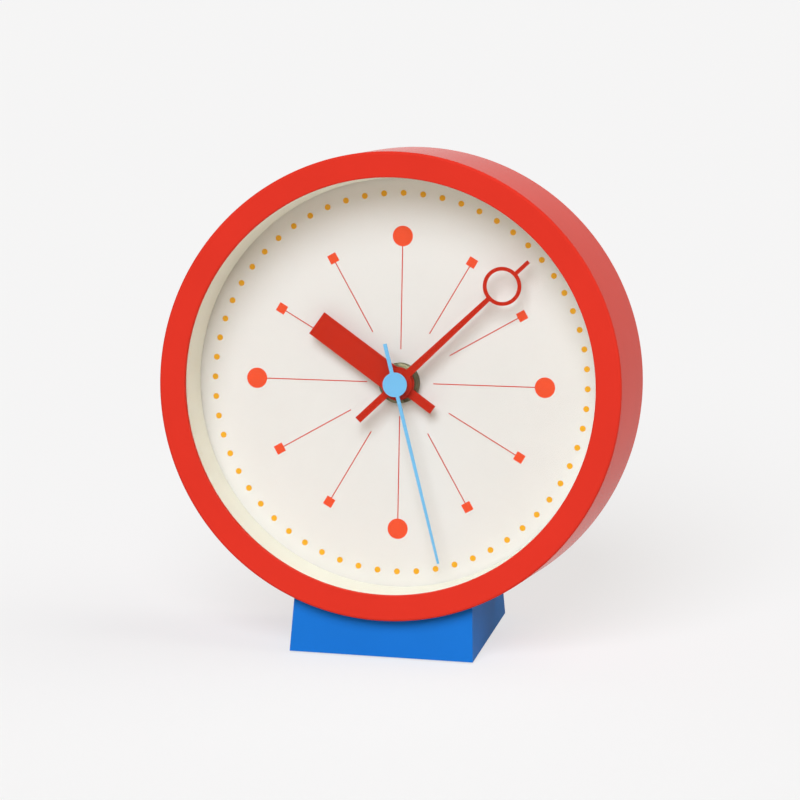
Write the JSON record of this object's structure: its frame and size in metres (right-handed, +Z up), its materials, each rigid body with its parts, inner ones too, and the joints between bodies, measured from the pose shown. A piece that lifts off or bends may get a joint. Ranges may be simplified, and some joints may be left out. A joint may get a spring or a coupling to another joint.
{
  "type": "desk clock",
  "caption": "Free-standing quartz desk clock: round drum leaning back on a block foot, flat glass, plain dial, hour, minute and second hands, gear train, battery door and setting knob behind.",
  "frame": {"origin": "on the floor under the middle of the bounding box", "axes": "+X to the right seen from the front, +Y to the back, +Z up; the dial faces -Y and leans back"},
  "size_m": [0.118, 0.0538, 0.1263],
  "materials": {
    "drum_red": "satin lacquer",
    "glass": "polished",
    "cream": "satin",
    "dial_cream": "matt paint",
    "rubber_black": "matt",
    "bush_brass": "turned",
    "nut_dark": "dark bronze",
    "hand_red": "satin paint",
    "hand_blue": "satin paint",
    "wheel_white": "moulded",
    "steel": "ground",
    "magnet": "matt",
    "arbor_brass": "turned",
    "case_black": "moulded",
    "copper": "lacquered wire",
    "board_green": "satin",
    "cell_can": "plain can",
    "contact_steel": "plated",
    "cover_red": "fine grain",
    "foot_blue": "satin lacquer",
    "mark_red": "printed ink",
    "dot_amber": "printed ink"
  },
  "bodies": {
    "clock": {"case_drum": "drum_red", "front_glass": "glass", "inner_ring": "cream", "dial_plate": "dial_cream", "dial_washer": "rubber_black", "threaded_bush": "bush_brass", "dial_nut": "nut_dark", "movement_front_case": "case_black", "movement_mid_plate": "wheel_white", "movement_rear_case": "case_black", "stator": "steel", "coil_core": "steel", "coil": "copper", "circuit_board": "board_green", "quartz_crystal": "steel", "aa_cell": "cell_can", "contact_positive": "contact_steel", "contact_negative": "contact_steel", "rear_cover": "cover_red", "rear_cover_screws": "steel", "foot": "foot_blue", "foot_screws": "steel", "foot_pad": "rubber_black"},
    "second_train": {"second_hand": "hand_blue", "second_wheel": "wheel_white", "second_arbor": "steel"},
    "intermediate_train": {"intermediate_wheel": "wheel_white"},
    "rotor": {"rotor_magnet": "magnet", "rotor_pinion": "wheel_white"},
    "third_train": {"third_wheel": "wheel_white"},
    "centre_train": {"centre_wheel": "wheel_white"},
    "minute_work": {"minute_hand": "hand_red", "minute_arbor": "arbor_brass"},
    "setting_work": {"motion_wheel": "wheel_white", "setting_knob": "case_black"},
    "hour_work": {"hour_hand": "hand_red", "hour_wheel": "wheel_white"},
    "door": {"battery_door": "cover_red"}
  },
  "joints": [
    {"name": "second_turn", "type": "hinge", "parent": "clock", "child": "second_train", "pos_m": [0, -0.00272, 0.06582], "axis": [0, 0.9863, -0.165], "continuous": true},
    {"name": "intermediate_turn", "type": "hinge", "parent": "clock", "child": "intermediate_train", "pos_m": [0.00855, -0.00221, 0.06889], "axis": [0, 0.9863, -0.165], "continuous": true},
    {"name": "rotor_turn", "type": "hinge", "parent": "clock", "child": "rotor", "pos_m": [0.01361, -0.00151, 0.07308], "axis": [0, 0.9863, -0.165], "continuous": true},
    {"name": "third_turn", "type": "hinge", "parent": "clock", "child": "third_train", "pos_m": [-0.00896, -0.00246, 0.06738], "axis": [0, 0.9863, -0.165], "continuous": true},
    {"name": "centre_turn", "type": "hinge", "parent": "clock", "child": "centre_train", "pos_m": [0, -0.00272, 0.06582], "axis": [0, 0.9863, -0.165], "continuous": true},
    {"name": "minute_turn", "type": "hinge", "parent": "clock", "child": "minute_work", "pos_m": [0, -0.00272, 0.06582], "axis": [0, 0.9863, -0.165], "continuous": true},
    {"name": "setting_turn", "type": "hinge", "parent": "clock", "child": "setting_work", "pos_m": [-0.00088, -0.00106, 0.07577], "axis": [0, 0.9863, -0.165], "continuous": true},
    {"name": "hour_turn", "type": "hinge", "parent": "clock", "child": "hour_work", "pos_m": [0, -0.00272, 0.06582], "axis": [0, 0.9863, -0.165], "continuous": true},
    {"name": "door_lift", "type": "slide", "parent": "clock", "child": "door", "axis": [0, 0.9863, -0.165], "range_m": [0, 0.03]}
  ],
  "couplings": [
    {"joint": "intermediate_turn", "follows": "second_turn", "ratio": -6},
    {"joint": "rotor_turn", "follows": "second_turn", "ratio": 30},
    {"joint": "third_turn", "follows": "second_turn", "ratio": -0.13333},
    {"joint": "centre_turn", "follows": "second_turn", "ratio": 0.016667},
    {"joint": "setting_turn", "follows": "minute_turn", "ratio": -0.33333},
    {"joint": "hour_turn", "follows": "minute_turn", "ratio": 0.083333}
  ]
}
